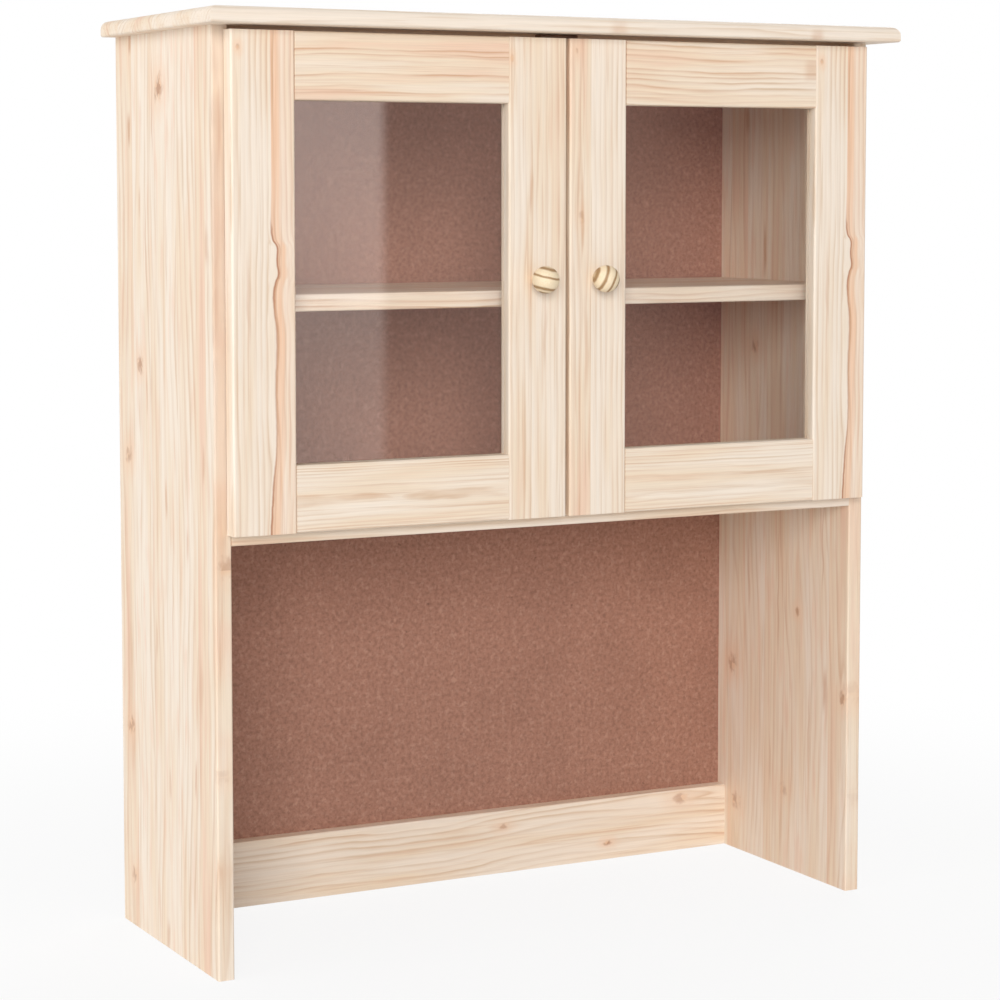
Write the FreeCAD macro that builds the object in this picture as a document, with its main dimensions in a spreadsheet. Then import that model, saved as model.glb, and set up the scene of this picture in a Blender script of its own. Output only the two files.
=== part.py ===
import FreeCAD, Part
import os
import re
import Sketcher

# A pine highboard. Two side panels carry an overhanging top, a cabinet with two glazed doors and one
# shelf, and an open bay below the cabinet. Each door hangs on two concealed single-pin cup hinges.
# Millimetres. X runs to the viewer's right, Y to the back and Z up. The origin lies on the ground,
# under the middle of the whole piece.

sizes = {
    # boards of the carcass
    "carcass_width": 800,
    "panel_height": 980,
    "panel_depth": 280,
    "board_thickness": 18,
    "edge_radius": 2,
    "top_thickness": 17,
    "top_side_overhang": 17,
    "top_front_overhang": 42,
    "top_upper_radius": 9,
    "top_lower_radius": 2.5,
    "floor_reveal": 12,
    "shelf_rise": 219.5,
    "shelf_depth": 250,
    "shelf_setback": 20,
    "shelf_end_clearance": 0.75,
    "lower_rail_height": 75,
    "lower_rail_thickness": 16,
    "back_thickness": 3,
    "back_lap": 9,
    "back_clearance": 0.5,
    "back_ground_gap": 5,
    # joints of the carcass
    "dowel_diameter": 8,
    "dowel_length": 30,
    "dowel_depth": 10,
    "dowel_edge_distance": 45,
    "rail_dowel_spacing": 36,
    "cam_diameter": 15,
    "cam_depth": 12.5,
    "cam_distance": 34,
    "cam_edge_distance": 95,
    "cam_bolt_diameter": 6,
    "cam_bolt_grip": 11,
    "nail_diameter": 1.8,
    "nail_length": 15,
    "nail_head_diameter": 4,
    "nail_head_height": 0.8,
    "nail_end_distance": 110,
    "nail_spacing": 150,
    "shelf_pin_diameter": 5,
    "shelf_pin_depth": 10,
    "shelf_pin_setback": 60,
    "shelf_tab_length": 10,
    "shelf_tab_width": 10,
    "shelf_tab_height": 6,
    # doors
    "door_inset": 12.5,
    "door_meeting_gap": 4,
    "door_top_gap": 5,
    "door_gap": 2,
    "door_height": 512,
    "door_thickness": 18,
    "frame_width": 70,
    "frame_edge_radius": 2.5,
    "frame_dowel_length": 40,
    "frame_dowel_spacing": 34,
    "glass_thickness": 3,
    "glass_setback": 11,
    "glass_clearance": 1,
    "rebate_width": 8,
    "knob_diameter": 29,
    "knob_reach": 32,
    "knob_stem_diameter": 15,
    "knob_screw_diameter": 4,
    "knob_screw_grip": 14,
    "knob_screw_head_diameter": 8,
    "knob_screw_head_height": 2.5,
    # hinges
    "hinge_margin": 90,
    "pivot_depth": 9.5,
    "cup_diameter": 35,
    "cup_wall": 0.8,
    "cup_fit": 0.1,
    "cup_edge_distance": 2,
    "cup_flange_width": 22,
    "cup_flange_length": 58,
    "cup_flange_thickness": 1.2,
    "cup_screw_spacing": 45,
    "cup_lug_thickness": 2.5,
    "cup_lug_width": 8,
    "cup_lug_clearance": 0.4,
    "barrel_diameter": 4,
    "barrel_clearance": 0.4,
    "pin_diameter": 2.2,
    "pin_clearance": 0.05,
    "arm_width": 8,
    "arm_thickness": 2,
    "arm_length": 46,
    "hook_clearance": 0.6,
    "plate_thickness": 4,
    "plate_length": 34,
    "plate_height": 44,
    "plate_setback": 10,
    "plate_screw_spacing": 30,
    "arm_screw_diameter": 4,
    "wood_screw_diameter": 3.5,
    "wood_screw_depth": 11,
    "screw_head_diameter": 6.5,
    "screw_head_height": 1.8,
    # magnetic catch
    "catch_width": 46,
    "catch_height": 14,
    "catch_depth": 15,
    "catch_gap": 0.3,
    "catch_screw_spacing": 30,
    "catch_screw_diameter": 3,
    "strike_width": 16,
    "strike_height": 12,
    "strike_thickness": 1.2,
    "strike_edge_distance": 3,
    "strike_top_distance": 2,
    "strike_screw_diameter": 2.5,
    "strike_screw_head_diameter": 5,
}
side_nail_count = 8
cross_nail_count = 5

doc = FreeCAD.newDocument("Highboard")
sheet = doc.addObject("Spreadsheet::Sheet", "Sizes")
for row, (name, value) in enumerate(sizes.items(), start=1):
    sheet.set(f"A{row}", name)
    sheet.set(f"B{row}", str(value))
    sheet.setAlias(f"B{row}", name)
doc.recompute()

# directions of a rod, as turns of its own upward axis
directions = {
    "+x": FreeCAD.Rotation(FreeCAD.Vector(0, 1, 0), 90),
    "-x": FreeCAD.Rotation(FreeCAD.Vector(0, 1, 0), -90),
    "+y": FreeCAD.Rotation(FreeCAD.Vector(1, 0, 0), -90),
    "-y": FreeCAD.Rotation(FreeCAD.Vector(1, 0, 0), 90),
    "+z": FreeCAD.Rotation(),
    "-z": FreeCAD.Rotation(FreeCAD.Vector(1, 0, 0), 180),
}
opposite = {"+": "-", "-": "+"}
nodes = []


def formula(text):
    return re.sub(r"[a-z]+(?:_[a-z]+)+", lambda word: "Sizes." + word.group(), text)


def bind(item, **formulas):
    for name, text in formulas.items():
        item.setExpression(name, formula(text))


def place(item, corner):
    for axis, text in zip("xyz", corner):
        item.setExpression(f"Placement.Base.{axis}", formula(text))


def node(item, label):
    item.Label = label
    nodes.append(item)
    return item


def box(name, corner, spans):
    item = doc.addObject("Part::Box", name)
    bind(item, Length=spans[0], Width=spans[1], Height=spans[2])
    place(item, corner)
    return item


def rod(name, direction, start, diameter, length):
    item = doc.addObject("Part::Cylinder", name)
    item.Placement = FreeCAD.Placement(FreeCAD.Vector(), directions[direction])
    bind(item, Radius=f"({diameter}) / 2", Height=length)
    place(item, start)
    return item


def group(name, items):
    item = doc.addObject("Part::Compound", name)
    item.Links = items
    return item


def fuse(name, items):
    item = doc.addObject("Part::MultiFuse", name)
    item.Shapes = items
    return item


def cut(name, base, *tools):
    for tool in tools:
        item = doc.addObject("Part::Cut", name)
        item.Base = base
        item.Tool = tool
        base = item
    return base


def mirrored(name, source):
    item = doc.addObject("Part::Mirroring", name)
    item.Source = source
    item.Normal = FreeCAD.Vector(1, 0, 0)
    return item


def both_sides(name, left):
    return group(name, [left, mirrored(name + "_mirrored", left)])


def screw(name, direction, seat, shank, head):
    # a shank that runs on from its seat, and a round head behind it, each (diameter, length)
    back = opposite[direction[0]] + direction[1]
    shaft = rod(name + "_shank", direction, seat, *shank)
    cap = rod(name + "_head", back, seat, *head)
    return fuse(name, [shaft, cap])


def edges_between(shape, pairs):
    # names of the edges that lie on both named sides of a shape's box
    bounds = shape.BoundBox
    sides = {
        "left": ("XMax", bounds.XMin), "right": ("XMin", bounds.XMax),
        "front": ("YMax", bounds.YMin), "back": ("YMin", bounds.YMax),
        "bottom": ("ZMax", bounds.ZMin), "top": ("ZMin", bounds.ZMax),
    }
    found = []
    for number, edge in enumerate(shape.Edges, start=1):
        for pair in pairs:
            tests = [sides[side] for side in pair]
            if all(abs(getattr(edge.BoundBox, limit) - value) < 1e-6 for limit, value in tests):
                found.append(f"Edge{number}")
    return found


def board(name, corner, spans, *roundings):
    # a padded rectangle whose named edges are rounded, each rounding (radius, pairs of sides)
    body = doc.addObject("PartDesign::Body", name)
    sketch = body.newObject("Sketcher::SketchObject", name + "_outline")
    plane = [item for item in body.Origin.OriginFeatures if item.Role == "XY_Plane"][0]
    sketch.AttachmentSupport = [(plane, "")]
    sketch.MapMode = "FlatFace"
    points = [FreeCAD.Vector(x, y, 0) for x, y in ((0, 0), (10, 0), (10, 10), (0, 10))]
    for start, end in zip(points, points[1:] + points[:1]):
        sketch.addGeometry(Part.LineSegment(start, end))
    for side in range(4):
        sketch.addConstraint(Sketcher.Constraint("Coincident", side, 2, (side + 1) % 4, 1))
    for side in range(4):
        sketch.addConstraint(Sketcher.Constraint(("Horizontal", "Vertical")[side % 2], side))
    sketch.addConstraint(Sketcher.Constraint("Coincident", 0, 1, -1, 1))
    measures = (("length", "DistanceX", 0, spans[0]), ("depth", "DistanceY", 1, spans[1]))
    for title, kind, side, text in measures:
        index = sketch.addConstraint(Sketcher.Constraint(kind, side, 1, side, 2, 10))
        sketch.renameConstraint(index, title)
        sketch.setExpression(f"Constraints.{title}", formula(text))
    pad = body.newObject("PartDesign::Pad", name + "_pad")
    pad.Profile = sketch
    bind(pad, Length=spans[2])
    for radius, pairs in roundings:
        doc.recompute()
        base = body.Tip
        fillet = body.newObject("PartDesign::Fillet", name + "_round")
        fillet.Base = (base, edges_between(base.Shape, pairs))
        bind(fillet, Radius=radius)
    place(body, corner)
    return body


# Planes that many pieces share
half = "(carcass_width / 2)"
inner = "(carcass_width / 2 - board_thickness)"
front = "((door_gap + door_thickness + knob_reach - panel_depth) / 2)"
rear = f"({front} + panel_depth)"
back_front = f"({rear} - back_thickness)"
door_back = f"({front} - door_gap)"
door_front = f"({door_back} - door_thickness)"
door_left = f"(door_inset - {half})"
door_width = f"({half} - door_inset - door_meeting_gap / 2)"
door_top = "(panel_height - door_top_gap)"
door_bottom = f"({door_top} - door_height)"
door_middle = f"({door_top} - door_height / 2)"
floor_low = f"({door_bottom} - floor_reveal)"
floor_middle = f"({floor_low} + board_thickness / 2)"
shelf_low = f"({floor_low} + board_thickness + shelf_rise)"

# Hinge pin: as near to the door's edge as the barrel's room inside the round cup allows
cup_chord = "sqrt((cup_diameter / 2 - cup_wall) ^ 2 - (arm_width / 2) ^ 2)"
barrel_room = "(barrel_diameter / 2 + barrel_clearance)"
pin_from_edge = f"(cup_edge_distance + cup_diameter / 2 - {cup_chord} + {barrel_room})"
pin_x = f"({door_left} + {pin_from_edge})"
pin_y = f"({door_back} - pivot_depth)"
cup_x = f"({door_left} + cup_edge_distance + cup_diameter / 2)"
cup_depth = f"(pivot_depth + {barrel_room} + cup_wall)"
hook_radius = f"(sqrt({pin_from_edge} ^ 2 + pivot_depth ^ 2) + hook_clearance)"
hinge_heights = {
    "upper": f"({door_top} - hinge_margin)",
    "lower": f"({door_bottom} + hinge_margin)",
}


def carcass_dowels():
    # two dowels in each end joint of the top, the cabinet floor and the lower rail, left side only
    rods = []
    for end, y in enumerate((f"{front} + dowel_edge_distance", f"{rear} - dowel_edge_distance")):
        bottom = "panel_height + dowel_depth - dowel_length"
        upright = (f"board_thickness / 2 - {half}", y, bottom)
        level = (f"-{inner} - dowel_depth", y, floor_middle)
        rods.append(rod(f"top_dowel_{end}", "+z", upright, "dowel_diameter", "dowel_length"))
        rods.append(rod(f"floor_dowel_{end}", "+x", level, "dowel_diameter", "dowel_length"))
    for end, sign in enumerate("-+"):
        height = f"lower_rail_height / 2 {sign} rail_dowel_spacing / 2"
        start = (f"-{inner} - dowel_depth", f"{back_front} - lower_rail_thickness / 2", height)
        rods.append(rod(f"rail_dowel_{end}", "+x", start, "dowel_diameter", "dowel_length"))
    return group("left_dowels", rods)


def carcass_cams():
    # bolts in the top and in the side panel, and the round locks that pull them in, left side only
    bolts, locks = [], []
    for end, y in enumerate((f"{front} + cam_edge_distance", f"{rear} - cam_edge_distance")):
        length = "cam_distance + cam_bolt_grip"
        low = "panel_height - cam_distance"
        upright = (f"board_thickness / 2 - {half}", y, low)
        level = (f"-{inner} - cam_bolt_grip", y, floor_middle)
        bolts.append(rod(f"top_bolt_{end}", "+z", upright, "cam_bolt_diameter", length))
        bolts.append(rod(f"floor_bolt_{end}", "+x", level, "cam_bolt_diameter", length))
        in_panel = (f"-{inner}", y, low)
        in_floor = (f"cam_distance - {inner}", y, floor_low)
        locks.append(rod(f"panel_lock_{end}", "-x", in_panel, "cam_diameter", "cam_depth"))
        locks.append(rod(f"floor_lock_{end}", "+z", in_floor, "cam_diameter", "cam_depth"))
    return group("left_cam_bolts", bolts), group("left_cam_locks", locks)


def nail(name, x, z):
    seat = (x, f"{rear} - nail_head_height", z)
    head = ("nail_head_diameter", "nail_head_height")
    return screw(name, "-y", seat, ("nail_diameter", "nail_length"), head)


def side_nails():
    pitch = f"(panel_height - 2 * nail_end_distance) / {side_nail_count - 1}"
    x = f"-{inner} - back_lap / 2"
    heights = [f"nail_end_distance + {step} * {pitch}" for step in range(side_nail_count)]
    return group("left_nails", [nail(f"side_nail_{step}", x, z) for step, z in enumerate(heights)])


def cross_nails():
    # rows into the edges of the top, the cabinet floor and the lower rail
    rows = {"top": "panel_height + back_lap / 2", "floor": floor_middle, "rail": "lower_rail_height / 2"}
    nails = []
    for title, z in rows.items():
        for step in range(cross_nail_count):
            x = f"{step - cross_nail_count // 2} * nail_spacing"
            nails.append(nail(f"{title}_nail_{step}", x, z))
    return nails


def shelf_pin(end, y):
    # a round peg in the side panel with a flat tab under the shelf
    peg_middle = (f"-{inner}", y, f"{shelf_low} - shelf_tab_height / 2")
    peg = rod(f"shelf_peg_{end}", "-x", peg_middle, "shelf_pin_diameter", "shelf_pin_depth")
    corner = (f"-{inner}", f"{y} - shelf_tab_width / 2", f"{shelf_low} - shelf_tab_height")
    tab = box(f"shelf_tab_{end}", corner, ("shelf_tab_length", "shelf_tab_width", "shelf_tab_height"))
    return fuse(f"shelf_pin_{end}", [peg, tab])


def hinge_cup(level, z):
    # a drawn steel cup with a flange, and two lugs that hold the pin
    bottom = f"{door_back} - {cup_depth}"
    outer = rod(f"{level}_cup_outer", "+y", (cup_x, bottom, z), "cup_diameter", cup_depth)
    bore = "cup_diameter - 2 * cup_wall"
    hollow_length = f"{cup_depth} + cup_flange_thickness"
    hollow = rod(f"{level}_cup_hollow", "+y", (cup_x, f"{bottom} + cup_wall", z), bore, hollow_length)
    corner = (f"{cup_x} - cup_flange_width / 2", door_back, f"{z} - cup_flange_length / 2")
    spans = ("cup_flange_width", "cup_flange_thickness", "cup_flange_length")
    shell = fuse(f"{level}_cup_blank", [outer, box(f"{level}_cup_flange", corner, spans)])
    lugs = []
    lug_spans = ("cup_lug_width", f"{cup_depth} - pivot_depth + barrel_diameter / 2", "cup_lug_thickness")
    lug_start = "(arm_width / 2 + cup_lug_clearance)"
    for end, low in enumerate((f"{z} + {lug_start}", f"{z} - {lug_start} - cup_lug_thickness")):
        lugs.append(box(f"{level}_lug_{end}", (f"{pin_x} - cup_lug_width / 2", bottom, low), lug_spans))
    inside = doc.addObject("Part::Common", f"{level}_lugs")
    inside.Base = group(f"{level}_lug_pair", lugs)
    inside.Tool = outer
    return outer, fuse(f"{level}_cup_shell", [cut(f"{level}_cup_bored", shell, hollow), inside])


def hinge_pin(level, z):
    reach = "(arm_width / 2 + cup_lug_clearance + cup_lug_thickness)"
    return rod(f"{level}_pin", "+z", (pin_x, pin_y, f"{z} - {reach}"), "pin_diameter", f"2 * {reach}")


def hinge_arm(level, z):
    # a hook that leaves the cup clear of the turning door edge, and a leaf along the side panel
    low = f"{z} - arm_width / 2"
    leaf_x = f"(plate_thickness - {inner})"
    leg_y = f"({pin_y} - arm_thickness / 2)"
    leaf_y = f"({pin_y} + {hook_radius})"
    barrel = rod(f"{level}_barrel", "+z", (pin_x, pin_y, low), "barrel_diameter", "arm_width")
    leg_spans = (f"{hook_radius} + arm_thickness", "arm_thickness", "arm_width")
    leg = box(f"{level}_leg", (pin_x, leg_y, low), leg_spans)
    web_spans = ("arm_thickness", f"{hook_radius} + 1.5 * arm_thickness", "arm_width")
    web = box(f"{level}_web", (f"{pin_x} + {hook_radius}", leg_y, low), web_spans)
    bridge_spans = (f"{pin_x} + {hook_radius} + arm_thickness - {leaf_x}", "arm_thickness", "arm_width")
    bridge = box(f"{level}_bridge", (leaf_x, leaf_y, low), bridge_spans)
    leaf = box(f"{level}_leaf", (leaf_x, leaf_y, low), ("arm_thickness", "arm_length", "arm_width"))
    bore = rod(f"{level}_bore", "+z", (pin_x, pin_y, low), "pin_diameter + 2 * pin_clearance", "arm_width")
    return cut(f"{level}_arm", fuse(f"{level}_arm_blank", [barrel, leg, web, bridge, leaf]), bore)


def hinge_plate(level, z):
    corner = (f"-{inner}", f"{front} + plate_setback", f"{z} - plate_height / 2")
    return box(f"{level}_plate", corner, ("plate_thickness", "plate_length", "plate_height"))


def hinge_screws(level, z):
    # two wood screws through the plate and one short screw that clamps the arm to it
    middle = f"{front} + plate_setback + plate_length / 2"
    wood_shank = ("wood_screw_diameter", "plate_thickness + wood_screw_depth")
    head = ("screw_head_diameter", "screw_head_height")
    seats = [f"{z} {sign} plate_screw_spacing / 2" for sign in "-+"]
    face = f"plate_thickness - {inner}"
    screws = [screw(f"{level}_plate_screw", "-x", (face, middle, seat), wood_shank, head) for seat in seats]
    arm_shank = ("arm_screw_diameter", "arm_thickness + plate_thickness")
    screws.append(screw(f"{level}_arm_screw", "-x", (f"{face} + arm_thickness", middle, z), arm_shank, head))
    return group(f"{level}_arm_fixings", screws)


def cup_screws(level, z):
    shank = ("wood_screw_diameter", "cup_flange_thickness + wood_screw_depth")
    seats = [f"{z} {sign} cup_screw_spacing / 2" for sign in "-+"]
    face = f"{door_back} + cup_flange_thickness"
    head = ("screw_head_diameter", "screw_head_height")
    return [screw(f"{level}_cup_screw", "-y", (cup_x, face, seat), shank, head) for seat in seats]


def frame_dowels():
    # two dowels in each corner of the left door's frame
    rods = []
    middle = f"{door_front} + door_thickness / 2"
    for low in (door_bottom, f"{door_top} - frame_width"):
        for x in (f"{door_left} + frame_width", f"{door_left} + {door_width} - frame_width"):
            for sign in "-+":
                z = f"{low} + frame_width / 2 {sign} frame_dowel_spacing / 2"
                start = (f"{x} - frame_dowel_length / 2", middle, z)
                rods.append(rod("frame_dowel", "+x", start, "dowel_diameter", "frame_dowel_length"))
    return group("left_door_dowel_set", rods)


def carcass(arm_fixings):
    dowels = carcass_dowels()
    bolts, locks = carcass_cams()
    left_nails = side_nails()
    pin_places = (f"{front} + shelf_pin_setback", f"{rear} - shelf_pin_setback")
    pins = group("left_shelf_pins", [shelf_pin(end, y) for end, y in enumerate(pin_places)])
    left_screws = group("left_hinge_screws", list(arm_fixings.values()))

    all_dowels = node(both_sides("dowels", dowels), "joint_dowels")
    all_bolts = node(both_sides("bolts", bolts), "cam_bolts")
    all_nails = group("nails", [both_sides("side_nails", left_nails)] + cross_nails())
    node(all_nails, "back_panel_nails")
    all_locks = both_sides("locks", locks)
    node(cut("locks_slotted", all_locks, all_bolts), "cam_locks")
    node(both_sides("pins", pins), "shelf_pins")
    node(both_sides("screws", left_screws), "hinge_screws")

    recess_corner = (f"-{inner} - back_lap", back_front, "0")
    recess_spans = (f"2 * ({inner} + back_lap)", "back_thickness", "panel_height + back_lap")
    recess = box("back_recess", recess_corner, recess_spans)

    panel_spans = ("board_thickness", "panel_depth", "panel_height")
    blank = board("side_panel_blank", (f"-{half}", front, "0"), panel_spans,
                  ("edge_radius", [("front", "left"), ("front", "right")]))
    hardware = group("panel_hardware", [dowels, bolts, locks, left_nails, pins, left_screws])
    left_panel = node(cut("side_panel", blank, recess, hardware), "left_side_panel")
    node(mirrored("right_panel", left_panel), "right_side_panel")

    catch_screws = magnetic_catch()
    top_corner = (f"-{half} - top_side_overhang", f"{front} - top_front_overhang", "panel_height")
    top_width = "carcass_width + 2 * top_side_overhang"
    top_spans = (top_width, "panel_depth + top_front_overhang", "top_thickness")
    outer = ("front", "left", "right")
    blank = board("top_blank", top_corner, top_spans,
                  ("top_upper_radius", [(side, "top") for side in outer]),
                  ("top_lower_radius", [(side, "bottom") for side in outer]))
    hardware = group("top_hardware", [all_dowels, all_bolts, all_nails, catch_screws])
    node(cut("top", blank, recess, hardware), "top_panel")

    span = f"2 * {inner}"
    floor_spans = (span, "panel_depth - back_thickness", "board_thickness")
    blank = board("floor_blank", (f"-{inner}", front, floor_low), floor_spans,
                  ("edge_radius", [("front", "top"), ("front", "bottom")]))
    hardware = group("floor_hardware", [all_dowels, all_bolts, all_locks, all_nails])
    node(cut("floor", blank, hardware), "cabinet_floor")

    shelf_corner = (f"shelf_end_clearance - {inner}", f"{front} + shelf_setback", shelf_low)
    shelf_spans = (f"{span} - 2 * shelf_end_clearance", "shelf_depth", "board_thickness")
    shelf = board("shelf_board", shelf_corner, shelf_spans,
                  ("edge_radius", [("front", "top"), ("front", "bottom")]))
    node(shelf, "shelf")

    rail_corner = (f"-{inner}", f"{back_front} - lower_rail_thickness", "0")
    blank = board("rail_blank", rail_corner, (span, "lower_rail_thickness", "lower_rail_height"),
                  ("edge_radius", [("front", "top")]))
    hardware = group("rail_hardware", [all_dowels, all_nails])
    node(cut("rail", blank, hardware), "lower_back_rail")

    back_corner = (f"back_clearance - {inner} - back_lap", back_front, "back_ground_gap")
    back_height = "panel_height + back_lap - back_clearance - back_ground_gap"
    back_spans = (f"2 * ({inner} + back_lap - back_clearance)", "back_thickness", back_height)
    node(cut("back", box("back_blank", back_corner, back_spans), all_nails), "back_panel")


def magnetic_catch():
    # a double catch under the top, close in front of the plates on the doors
    low = "(panel_height - catch_height)"
    corner = ("-catch_width / 2", f"{door_back} + strike_thickness + catch_gap", low)
    blank = box("catch_blank", corner, ("catch_width", "catch_depth", "catch_height"))
    shank = ("catch_screw_diameter", "catch_height + wood_screw_depth")
    head = ("screw_head_diameter", "screw_head_height")
    middle = f"{corner[1]} + catch_depth / 2"
    seats = [(f"{sign}catch_screw_spacing / 2", middle, low) for sign in "-+"]
    screws = group("catch_screw_pair", [screw("catch_screw", "+z", seat, shank, head) for seat in seats])
    node(cut("catch", blank, screws), "magnetic_catch")
    return node(screws, "catch_screws")


def door_frame(hinge_stile_holes, meeting_stile_holes):
    recess_x = f"({door_left} + frame_width - rebate_width)"
    recess_z = f"({door_bottom} + frame_width - rebate_width)"
    recess_width = f"({door_width} - 2 * frame_width + 2 * rebate_width)"
    recess_height = "(door_height - 2 * frame_width + 2 * rebate_width)"
    glass_y = f"({door_front} + glass_setback)"
    recess_spans = (recess_width, "door_thickness - glass_setback", recess_height)
    recess = box("glass_recess", (recess_x, glass_y, recess_z), recess_spans)
    dowels = node(frame_dowels(), "left_door_dowels")

    upright = ("frame_width", "door_thickness", "door_height")
    sides = ("frame_edge_radius", [("front", "left"), ("front", "right")])
    places = {
        "hinge_stile": (door_left, hinge_stile_holes),
        "meeting_stile": (f"{door_left} + {door_width} - frame_width", meeting_stile_holes),
    }
    for title, (x, holes) in places.items():
        blank = board(f"{title}_blank", (x, door_front, door_bottom), upright, sides)
        holes = group(f"{title}_holes", holes + [dowels])
        node(cut(title, blank, recess, holes), f"left_door_{title}")

    level = (f"{door_width} - 2 * frame_width", "door_thickness", "frame_width")
    ends = ("frame_edge_radius", [("front", "top"), ("front", "bottom")])
    for title, z in (("top_rail", f"{door_top} - frame_width"), ("bottom_rail", door_bottom)):
        blank = board(f"{title}_blank", (f"{door_left} + frame_width", door_front, z), level, ends)
        node(cut(title, blank, recess, dowels), f"left_door_{title}")

    corner = (f"{recess_x} + glass_clearance", glass_y, f"{recess_z} + glass_clearance")
    pane_width, pane_height = (f"{size} - 2 * glass_clearance" for size in (recess_width, recess_height))
    node(box("pane", corner, (pane_width, "glass_thickness", pane_height)), "left_door_glass")

    bead_y = f"{glass_y} + glass_thickness"
    bead_depth = "door_thickness - glass_setback - glass_thickness"
    inside_width = f"{recess_width} - 2 * rebate_width"
    bead_far_x = f"{recess_x} + {recess_width} - rebate_width"
    bead_high_z = f"{recess_z} + {recess_height} - rebate_width"
    beads = {
        "hinge_side": (recess_x, recess_z, "rebate_width", recess_height),
        "meeting_side": (bead_far_x, recess_z, "rebate_width", recess_height),
        "bottom": (f"{recess_x} + rebate_width", recess_z, inside_width, "rebate_width"),
        "top": (f"{recess_x} + rebate_width", bead_high_z, inside_width, "rebate_width"),
    }
    for title, (x, z, width, height) in beads.items():
        node(box(f"bead_{title}", (x, bead_y, z), (width, bead_depth, height)), f"left_door_bead_{title}")


def door_knob():
    # a turned ball on a short stem, held by a screw through the stile
    x = "(-door_meeting_gap / 2 - frame_width / 2)"
    ball_middle = "knob_reach - knob_diameter / 2"
    stem = rod("knob_stem", "-y", (x, door_front, door_middle), "knob_stem_diameter", ball_middle)
    ball = doc.addObject("Part::Sphere", "knob_ball")
    bind(ball, Radius="knob_diameter / 2")
    place(ball, (x, f"{door_front} - ({ball_middle})", door_middle))
    shank = ("knob_screw_diameter", "door_thickness + knob_screw_grip")
    head = ("knob_screw_head_diameter", "knob_screw_head_height")
    bolt = node(screw("knob_bolt", "-y", (x, door_back, door_middle), shank, head), "left_door_knob_screw")
    node(cut("knob", fuse("knob_blank", [stem, ball]), bolt), "left_door_knob")
    return bolt


def strike_plate():
    # the steel plate that the catch pulls on, with a flush screw
    x = "(-door_meeting_gap / 2 - strike_edge_distance - strike_width)"
    z = f"({door_top} - strike_top_distance - strike_height)"
    plate = box("strike_blank", (x, door_back, z), ("strike_width", "strike_thickness", "strike_height"))
    seat = (f"{x} + strike_width / 2", door_back, f"{z} + strike_height / 2")
    shank = ("strike_screw_diameter", "wood_screw_depth")
    head = ("strike_screw_head_diameter", "strike_thickness")
    fixing = node(screw("strike_fixing", "-y", seat, shank, head), "left_strike_screw")
    node(cut("strike", plate, fixing), "left_strike_plate")
    return fixing


def left_hinges(arm_fixings):
    holes, pins, fixings = [], [], []
    for level, z in hinge_heights.items():
        outer, shell = hinge_cup(level, z)
        pin = hinge_pin(level, z)
        cup_fixings = cup_screws(level, z)
        cup_holes = group(f"{level}_cup_holes", [pin] + cup_fixings)
        node(cut(f"{level}_cup", shell, cup_holes), f"left_{level}_hinge_cup")
        bore_start = (cup_x, f"{door_back} - {cup_depth} - cup_fit", z)
        bore_length = f"{cup_depth} + cup_fit"
        bore = rod(f"{level}_cup_seat", "+y", bore_start, "cup_diameter + 2 * cup_fit", bore_length)
        holes += [bore] + cup_fixings
        pins.append(pin)
        fixings += cup_fixings
        arm = cut(f"{level}_arm_drilled", hinge_arm(level, z), arm_fixings[level])
        node(arm, f"left_{level}_hinge_arm")
        plate = cut(f"{level}_plate_drilled", hinge_plate(level, z), arm_fixings[level])
        node(plate, f"left_{level}_hinge_plate")
    node(group("pins", pins), "left_hinge_pins")
    node(group("cup_fixings", fixings), "left_hinge_cup_screws")
    return holes


screw_sets = {level: hinge_screws(level, z) for level, z in hinge_heights.items()}
carcass(screw_sets)
stile_holes = left_hinges(screw_sets)
door_frame(stile_holes, [door_knob(), strike_plate()])

# The right door and its hinges mirror the left ones
for item in [item for item in nodes if item.Label.startswith("left_") and item.Label != "left_side_panel"]:
    node(mirrored(item.Name + "_right", item), item.Label.replace("left_", "right_"))

doc.recompute()
for item in doc.Objects:
    if "Invalid" in item.State or "Error" in item.State:
        raise RuntimeError(f"{item.Label} failed: {item.State}")
for item in nodes:
    if item.Shape.isNull() or not item.Shape.isValid():
        raise RuntimeError(f"{item.Label} has no valid shape")

os.makedirs("parts", exist_ok=True)
for item in nodes:
    item.Shape.exportStep(f"parts/{item.Label}.step")
print(len(nodes), "nodes written")
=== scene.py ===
import bpy
import bmesh
import math
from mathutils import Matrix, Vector


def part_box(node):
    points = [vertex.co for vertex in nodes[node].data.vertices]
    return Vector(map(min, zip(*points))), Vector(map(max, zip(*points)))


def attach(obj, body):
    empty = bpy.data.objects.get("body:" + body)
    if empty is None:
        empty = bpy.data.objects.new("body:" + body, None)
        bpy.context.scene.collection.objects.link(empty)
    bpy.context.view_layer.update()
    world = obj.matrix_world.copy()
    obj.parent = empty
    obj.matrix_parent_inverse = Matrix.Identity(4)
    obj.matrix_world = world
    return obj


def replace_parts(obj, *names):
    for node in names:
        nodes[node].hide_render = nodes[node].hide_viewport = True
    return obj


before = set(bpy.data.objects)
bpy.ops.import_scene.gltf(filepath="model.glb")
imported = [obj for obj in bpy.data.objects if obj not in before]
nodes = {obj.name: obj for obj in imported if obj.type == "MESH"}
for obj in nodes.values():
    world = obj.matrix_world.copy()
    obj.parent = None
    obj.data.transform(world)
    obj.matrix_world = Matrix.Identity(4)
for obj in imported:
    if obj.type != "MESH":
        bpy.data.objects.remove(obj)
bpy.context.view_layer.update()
scene = bpy.context.scene
scene.view_settings.view_transform = "Standard"
perMetre = 1000.0
print("frame loaded:", len(nodes), "nodes")


# a new object in the scene
def addThing(name, data):
    thing = bpy.data.objects.new(name, data)
    scene.collection.objects.link(thing)
    return thing


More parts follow.
